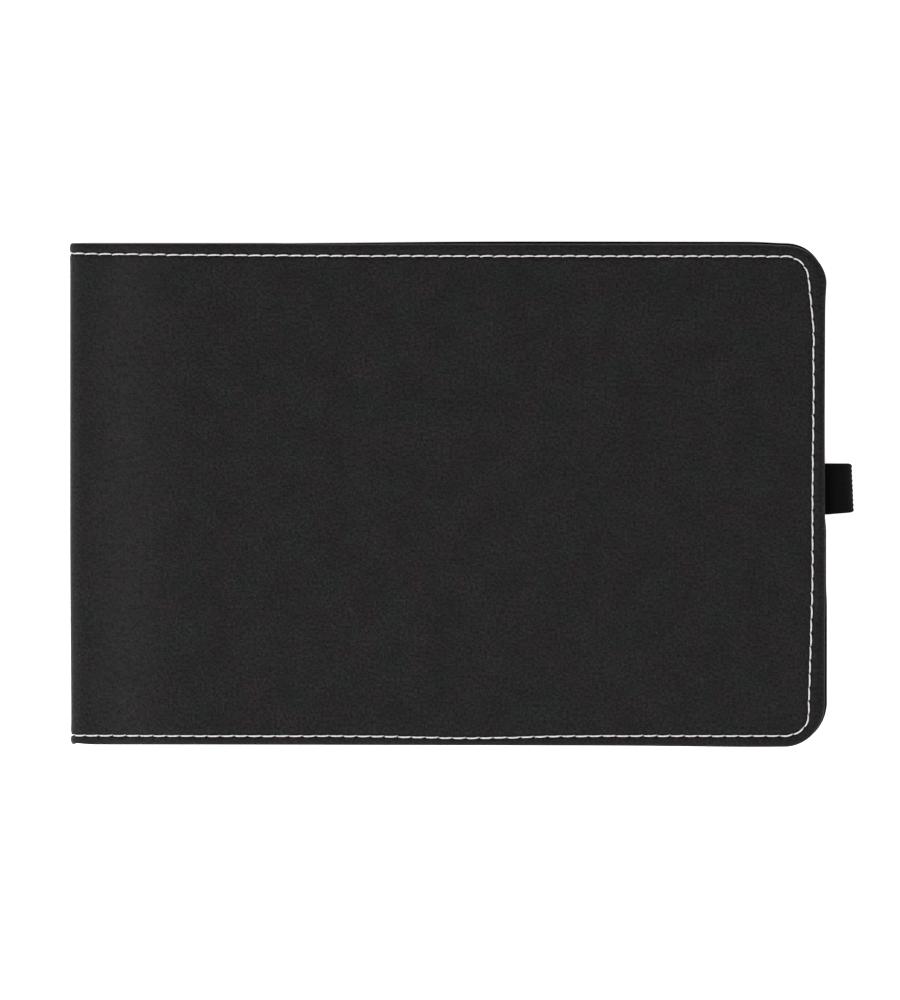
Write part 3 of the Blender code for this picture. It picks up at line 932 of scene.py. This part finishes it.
def leatherette(form, scuff):
    """Matt soft-touch leatherette: fine pebble grain, faint mottling and flecks, with a
    painted highlight over the joint and painted shade in the seam's groove, along the
    crease and on the rim.
    """
    material, tree, shader = new_material(
        form.name + "_leatherette", LEATHER_ROUGHNESS, Specular_IOR_Level=0.16,
        Sheen_Weight=0.03, Sheen_Roughness=0.45)
    place = flat_place(tree)
    tint = spread(tree, noise(tree, place, 0.15, 4.0, 0.68), 0.37, 0.63)
    colour = mix_colour(tree, tint, tuple(LEATHER_ALBEDO * c for c in COOL_TINT),
                        tuple(LEATHER_ALBEDO * c for c in WARM_TINT))
    cloud = spread(tree, noise(tree, place, 0.13, 6.0, 0.78), 0.30, 0.70, CLOUD_LOW,
                   CLOUD_HIGH)
    speckle = spread(tree, noise(tree, place, 1.7, 5.0, 0.80), 0.375, 0.625, 0.0, 2.0)
    colour = mix_colour(tree, 1.0, colour, cloud, "MULTIPLY")
    colour = mix_colour(tree, 1.0, colour, speckle, "MULTIPLY")
    flecks = spread(tree, noise(tree, place, 2.6, 1.0, 0.3), 0.73, 0.79, 0.0, 0.35)
    colour = mix_colour(tree, flecks, colour, FLECK)
    patchy = spread(tree, noise(tree, place, 0.9, 6.0, 0.7), 0.38, 0.70)
    wear_and_painted_light = add_node(tree, "Attribute", attribute_name="wear_and_painted_light").outputs["Fac"]
    scuff = (form.xi_of(scuff[0]), scuff[1], 0.0)
    wear_and_painted_light = math_node(tree, "ADD", wear_and_painted_light, scuff_mark(tree, place, scuff))
    # Lighter where the attribute is positive: the scuff, a band along the spine's edge,
    # and a painted highlight over the joint.
    rub_and_highlight = math_node(tree, "MULTIPLY", wear_and_painted_light, patchy)
    colour = mix_colour(tree, rub_and_highlight, colour, RUB_AND_HIGHLIGHT)
    # Painted shade: where the attribute is negative the colour darkens, in the seam's
    # valley, along the fore-edge crease and on the rim.
    painted_shade = spread(tree, wear_and_painted_light, -0.9, 0.0, 0.30, 1.0)
    colour = mix_colour(tree, 1.0, colour, painted_shade, "MULTIPLY")
    rough = spread(tree, cloud, CLOUD_LOW, CLOUD_HIGH, LEATHER_ROUGHNESS - 0.04,
                   LEATHER_ROUGHNESS + 0.05)
    connect(tree, shader, colour, leather_grain(tree, place), GRAIN_DEPTH,
            Roughness=rough)
    return material


def edge_shade_material():
    """Dull near-black painted shade on the cover's cut edge and its turned-in strip,
    which lie in shadow.
    """
    material, tree, shader = new_material("black_edge_painted_shade", 0.92, Specular_IOR_Level=0.04)
    blotch = spread(tree, noise(tree, flat_place(tree), 1.1, 5.0, 0.7), 0.3, 0.7)
    # near-black colour with blotches: painted shade for the shadowed edge
    colour = mix_colour(tree, blotch, (0.0018, 0.0018, 0.0020), (0.0046, 0.0044, 0.0045))
    connect(tree, shader, colour, blotch, 0.04)
    return material


def lining_material():
    """Smooth-faced black lining paper, embossed with a fine, flat grain."""
    material, tree, shader = new_material("black_lining", 0.62, Specular_IOR_Level=0.22)
    place = flat_place(tree)
    cells = add_node(tree, "TexVoronoi", {"Vector": place, "Scale": 3.2},
                     feature="DISTANCE_TO_EDGE").outputs["Distance"]
    emboss = spread(tree, cells, 0.0, 0.22)
    cloud = spread(tree, noise(tree, place, 0.12, 5.0, 0.65), 0.3, 0.7, 0.80, 1.20)
    fibre = spread(tree, noise(tree, place, 1.7, 4.0, 0.7), 0.3, 0.7, 0.7, 1.3)
    # Darker along the emboss's grooves: painted shade in the recesses.
    colour = mix_colour(tree, emboss, (0.008, 0.008, 0.009), (0.0155, 0.0150, 0.0155))
    colour = mix_colour(tree, 1.0, colour, cloud, "MULTIPLY")
    colour = mix_colour(tree, 1.0, colour, fibre, "MULTIPLY")
    height = add_share(tree, emboss, fibre, 0.3)
    connect(tree, shader, colour, height, 0.02)
    return material


def thread_material():
    """White polyester thread: twisted plies with a soft sheen."""
    material, tree, shader = new_material("white_thread", 0.55, Sheen_Weight=0.25,
                                          Sheen_Roughness=0.4)
    place = flat_place(tree)
    twist = add_node(tree, "TexWave", {
        "Vector": flat_place(tree, (1.0, 0.55, 0.0)), "Scale": 2.6, "Distortion": 0.6,
        "Detail": 1.0}, bands_direction="DIAGONAL").outputs["Fac"]
    fibre = noise(tree, flat_place(tree, (2.0, 14.0, 1.0)), 2.0, 4.0, 0.6)
    soil = spread(tree, noise(tree, place, 0.06, 3.0, 0.6), 0.35, 0.7)
    clean = mix_colour(tree, soil, (0.95, 0.925, 0.925), (0.86, 0.825, 0.82))
    # Darker along the twist's valleys: painted shade between the plies.
    colour = mix_colour(tree, spread(tree, twist, 0.0, 1.0, 0.2, 0.0), clean,
                        (0.60, 0.56, 0.55))
    height = add_share(tree, twist, fibre, 0.5)
    connect(tree, shader, colour, height, 0.03)
    return material


def elastic_material():
    """Black woven elastic: fine cross weave over the lengthwise ribs."""
    material, tree, shader = new_material("black_elastic", 0.85, Specular_IOR_Level=0.06,
                                          Sheen_Weight=0.01, Sheen_Roughness=0.5)
    cross = add_node(tree, "TexWave", {
        "Vector": flat_place(tree, (1.0, 0.0, 0.0)), "Scale": 0.94, "Distortion": 0.35,
        "Detail": 2.0, "Detail Scale": 3.0}).outputs["Fac"]
    yarn = add_node(tree, "TexWave", {
        "Vector": flat_place(tree, (0.35, 1.0, 0.0)), "Scale": 1.9, "Distortion": 0.8,
        "Detail": 2.0}, bands_direction="Y").outputs["Fac"]
    fuzz = noise(tree, flat_place(tree), 5.0, 5.0, 0.7)
    weave = add_share(tree, cross, yarn, 0.6)
    # Lighter on the weave's raised threads and darker between them: painted highlight and
    # shade.
    light = math_node(tree, "MULTIPLY", weave, spread(tree, fuzz, 0.3, 0.8, 0.2, 0.8))
    colour = mix_colour(tree, light, (0.0005, 0.0005, 0.0006), (0.0130, 0.0130, 0.0136))
    height = add_share(tree, weave, fuzz, 0.5)
    connect(tree, shader, colour, height, 0.06)
    return material


CREAM = (0.70, 0.65, 0.54)
FLYLEAF_CREAM = (0.69, 0.645, 0.55)
LINEN = (0.72, 0.68, 0.58)


def paper_material(name, tint, coords="flat"):
    """Uncoated cream paper with a faint fibre cloud and a dry surface."""
    material, tree, shader = new_material(name, 0.82, Specular_IOR_Level=0.25)
    place = flat_place(tree, coords=coords)
    cloud = spread(tree, noise(tree, place, 0.09, 6.0, 0.65), 0.3, 0.7)
    fibre = noise(tree, flat_place(tree, (1.0, 3.5, 1.0), coords), 1.6, 5.0, 0.7)
    darker = tuple(c * 0.955 for c in tint)
    colour = mix_colour(tree, cloud, darker, tint)
    colour = mix_colour(tree, spread(tree, fibre, 0.55, 0.75, 0.0, 0.25), colour,
                        tuple(c * 0.88 for c in tint))
    connect(tree, shader, colour, fibre, 0.012)
    return material


def board_material():
    """Grey pulp board, layered and fibrous."""
    material, tree, shader = new_material("grey_board", 0.9, Specular_IOR_Level=0.2)
    fibre = noise(tree, flat_place(tree, (1.0, 4.0, 1.0), "object"), 0.8, 6.0, 0.7)
    colour = mix_colour(tree, fibre, (0.19, 0.165, 0.135), (0.36, 0.32, 0.27))
    connect(tree, shader, colour, fibre, 0.05)
    return material


def mull_material():
    """Open-weave crash cloth, stiff with glue."""
    material, tree, shader = new_material("crash_cloth", 0.85)
    place = flat_place(tree, coords="object")
    warp, weft = [add_node(tree, "TexWave", {"Vector": place, "Scale": 0.45},
                           bands_direction=way).outputs["Fac"] for way in "YZ"]
    weave = math_node(tree, "MAXIMUM", warp, weft)
    colour = mix_colour(tree, weave, (0.42, 0.38, 0.30), (0.74, 0.71, 0.64))
    connect(tree, shader, colour, weave, 0.08)
    return material


# ---- the notebook


def blend_cover(piece):
    """Bakes the piece's placement into its mesh; its points already bend round the
    spine's edge.
    """
    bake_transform(piece)


def paint_edge_shade(wrap, painted_edge_shade):
    """Past the outer face, the skin's edge and turned-in strip take the near-black
    painted shade.
    """
    mesh = wrap.data
    mesh.materials.append(painted_edge_shade)
    depth = np.empty(3 * len(mesh.vertices), np.float32)
    mesh.attributes["flat"].data.foreach_get("vector", depth)
    depth = depth[2::3]
    for face in mesh.polygons:
        if depth[list(face.vertices)].mean() > EDGE_SHADE_DEPTH:
            face.material_index = 1


def make_cover(form, materials):
    border = Border(form, STITCH / SAMPLES)
    wrap = sheet_piece(form.name + "_wrap", border, skin_profile(),
                       materials[form.name])
    # the cut edge and turned-in strip take near-black painted shade
    paint_edge_shade(wrap, materials["edge"])
    coarse = Border(form, STITCH / SAMPLES * 2)
    bulge = loop_bulge if form is BACK else None
    lining = sheet_piece(form.name + "_lining_sheet", coarse, lining_profile(),
                         materials["lining"], -1.0, bulge)
    needle = stitch_row(form.name + "_needle_stitches", border, 0.0, 1.0,
                        materials["thread"])
    bobbin = stitch_row(form.name + "_bobbin_stitches", coarse, LINING_BOTTOM, -1.0,
                        materials["thread"], 8, 9, bulge)
    prefix = form.name + "_cover_"
    seam = form.name + "_seam_"
    spine = "head" if form is FRONT else "tail"
    skins = [prefix + "skin"] + (["spine_skin"] if form is FRONT else [])
    linings = [prefix + "lining"] + (["spine_lining"] if form is FRONT else [])
    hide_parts(*skins)
    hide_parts(*linings)
    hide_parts(seam + "needle_thread", "spine_seam_thread_" + spine)
    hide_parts(seam + "bobbin_thread")
    for piece, slot in ((wrap, "leatherette"), (lining, "lining"), (needle, "thread"),
                        (bobbin, "thread")):
        blend_cover(piece)


def finish_node(name, material):
    """A carried-over node keeps its shape and takes a material."""
    node = frame["nodes"][name]
    node.data.materials.clear()
    node.data.materials.append(material)


def make_notebook():
    materials = {
        "front": leatherette(FRONT, FRONT_SCUFF),
        "back": leatherette(BACK, BACK_SCUFF),
        "edge": edge_shade_material(),
        "lining": lining_material(),
        "thread": thread_material(),
    }
    for form in (FRONT, BACK):
        make_cover(form, materials)
    make_pen_loop(elastic_material())
    paper = paper_material("cream_paper", CREAM)
    flyleaf = paper_material("flyleaf_paper", FLYLEAF_CREAM)
    bodies = frame["record"]["behaviour"]["bodies"]
    for body, nodes in bodies.items():
        for node in nodes:
            if node.startswith("page_section"):
                make_section(node, body, paper)
            elif node.endswith("flyleaf"):
                make_flyleaf(node, flyleaf)
            elif node.endswith("board"):
                finish_node(node, board_material())
            elif node.endswith("mull"):
                finish_node(node, mull_material())
            elif node.startswith("sewing"):
                finish_node(node, paper_material("linen_thread", LINEN, "object"))


# ---- stage

VIEW_HEIGHT = 201.5        # what the picture's height shows
VIEW_CENTRE = (0.4, -1.2)
LENS = 1200.0
SENSOR = 36.0
FLOOR_REACH = 6.0          # metres from the middle to the floor's edges
FLOOR_GAP = 0.0001         # metres under the notebook
FLOOR_ALBEDO = 0.90
FLOOR_GLOW = 0.82          # lifts the floor to a plain white


def make_stage():
    half = FLOOR_REACH
    mesh = bpy.data.meshes.new("floor")
    corners = [(-half, -half, 0), (half, -half, 0), (half, half, 0), (-half, half, 0)]
    mesh.from_pydata(corners, [], [(0, 1, 2, 3)])
    material, _, shader = new_material("pale_floor", 0.9, Specular_IOR_Level=0.1)
    shader.inputs["Base Color"].default_value = (*(FLOOR_ALBEDO,) * 3, 1.0)
    shader.inputs["Emission Color"].default_value = (1.0, 1.0, 1.0, 1.0)
    shader.inputs["Emission Strength"].default_value = FLOOR_GLOW
    mesh.materials.append(material)
    floor = add_object("floor", mesh)
    floor.location.z = -FLOOR_GAP


def add_light(name, place, size, power):
    """A rectangular lamp that faces the notebook."""
    light = bpy.data.lights.new(name, "AREA")
    light.shape = "RECTANGLE"
    light.size, light.size_y = size
    light.energy = power
    lamp = add_object(name, light)
    lamp.location = place
    lamp.rotation_mode = "QUATERNION"
    aim = -Vector(place)
    lamp.rotation_quaternion = aim.to_track_quat("-Z", "Y")


def make_lights():
    add_light("key", (-0.62, -0.38, 0.62), (0.7, 0.7), 8.0)
    add_light("fill", (0.80, -0.35, 0.85), (0.9, 0.9), 5.6)
    add_light("back", (-0.10, 1.0, 0.75), (1.2, 0.6), 2.0)
    world = bpy.data.worlds.new("studio")
    world.use_nodes = True
    background = world.node_tree.nodes["Background"]
    background.inputs["Color"].default_value = (1.0, 1.0, 1.0, 1.0)
    background.inputs["Strength"].default_value = 0.25
    bpy.context.scene.world = world
    bpy.context.scene.view_settings.view_transform = "Standard"


def make_camera():
    data = bpy.data.cameras.new("camera")
    data.lens = LENS
    data.sensor_width = SENSOR
    data.clip_end = 100.0
    camera = add_object("camera", data)
    distance = VIEW_HEIGHT * LENS / SENSOR
    camera.location = (VIEW_CENTRE[0] * MM, VIEW_CENTRE[1] * MM,
                       (TOTAL + distance) * MM)
    bpy.context.scene.camera = camera


make_camera()
make_stage()
make_lights()
make_notebook()
